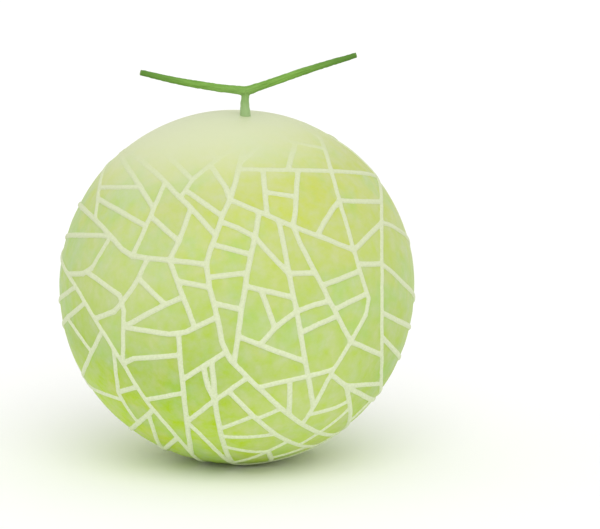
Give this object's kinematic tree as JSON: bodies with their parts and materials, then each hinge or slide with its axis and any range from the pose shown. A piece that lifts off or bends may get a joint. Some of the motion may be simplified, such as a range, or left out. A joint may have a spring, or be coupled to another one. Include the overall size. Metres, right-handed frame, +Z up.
{
  "type": "netted cantaloupe melon",
  "caption": "Whole round netted melon with a raised cork net on pale green rind, standing on its blossom end, with a T-shaped piece of vine.",
  "frame": {"origin": "middle of the flat spot at the blossom end that the fruit rests on", "axes": "+Z up from the rest spot to the crown, +X right and -Y towards the viewer, seen from the front"},
  "size_m": [0.1514, 0.1516, 0.1736],
  "materials": {
    "rind": "waxy pale green rind with a raised matt cork net",
    "vine": "matt green vine with fine fibres"
  },
  "bodies": {
    "root": {"fruit": "rind", "stem": "vine"}
  },
  "joints": []
}
